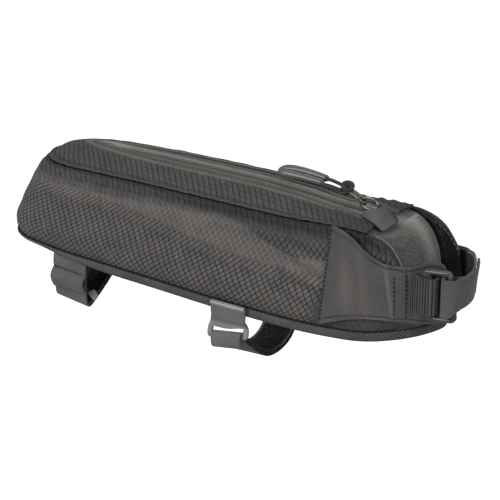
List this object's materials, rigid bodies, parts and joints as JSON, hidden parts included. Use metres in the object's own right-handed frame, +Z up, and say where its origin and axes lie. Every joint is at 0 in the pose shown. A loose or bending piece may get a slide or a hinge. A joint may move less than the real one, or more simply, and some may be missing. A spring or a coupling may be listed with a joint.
{
  "type": "bicycle frame bag",
  "caption": "Slim zipped bag that sits on a bicycle's top tube, with hook-and-loop straps round the tube and a buckled strap round the steerer.",
  "frame": {"origin": "underside of the floor, on the bag's middle line, where it sits on the top tube", "axes": "+X to the front of the bag, where its strap goes round the steerer, +Z up, -Y to the side with the frame hook"},
  "size_m": [0.3351, 0.0653, 0.1257],
  "materials": {
    "diamond_ripstop": "coated diamond ripstop",
    "plain_ripstop": "coated fine ripstop",
    "brushed_pad": "brushed padded cloth",
    "webbing": "woven tape",
    "hook_and_loop": "hook-and-loop strap",
    "coated_film": "satin film",
    "moulded_plastic": "moulded gloss",
    "grey_plastic": "moulded satin",
    "gunmetal": "dark plated",
    "cord_weave": "braided cord"
  },
  "bodies": {
    "root": {"base_plate": "webbing", "base_binding": "webbing", "body_wall": "diamond_ripstop", "top_panel": "diamond_ripstop", "zip_tape_near": "coated_film", "zip_tape_far": "coated_film", "front_pad": "brushed_pad", "wing_near": "plain_ripstop", "wing_far": "plain_ripstop", "wing_corner": "plain_ripstop", "wing_webbing": "webbing", "strap_buckle": "moulded_plastic", "steerer_strap": "hook_and_loop", "tail_strap": "hook_and_loop", "tail_strap_flap": "hook_and_loop", "tail_strap_tab": "grey_plastic", "frame_hook": "grey_plastic", "front_strap": "hook_and_loop", "zip_slider": "gunmetal", "puller_tab": "gunmetal", "puller_knot": "cord_weave", "puller_grip": "moulded_plastic", "puller_cord_far": "cord_weave", "puller_cord_near": "cord_weave", "zip_garage": "coated_film"}
  },
  "joints": []
}
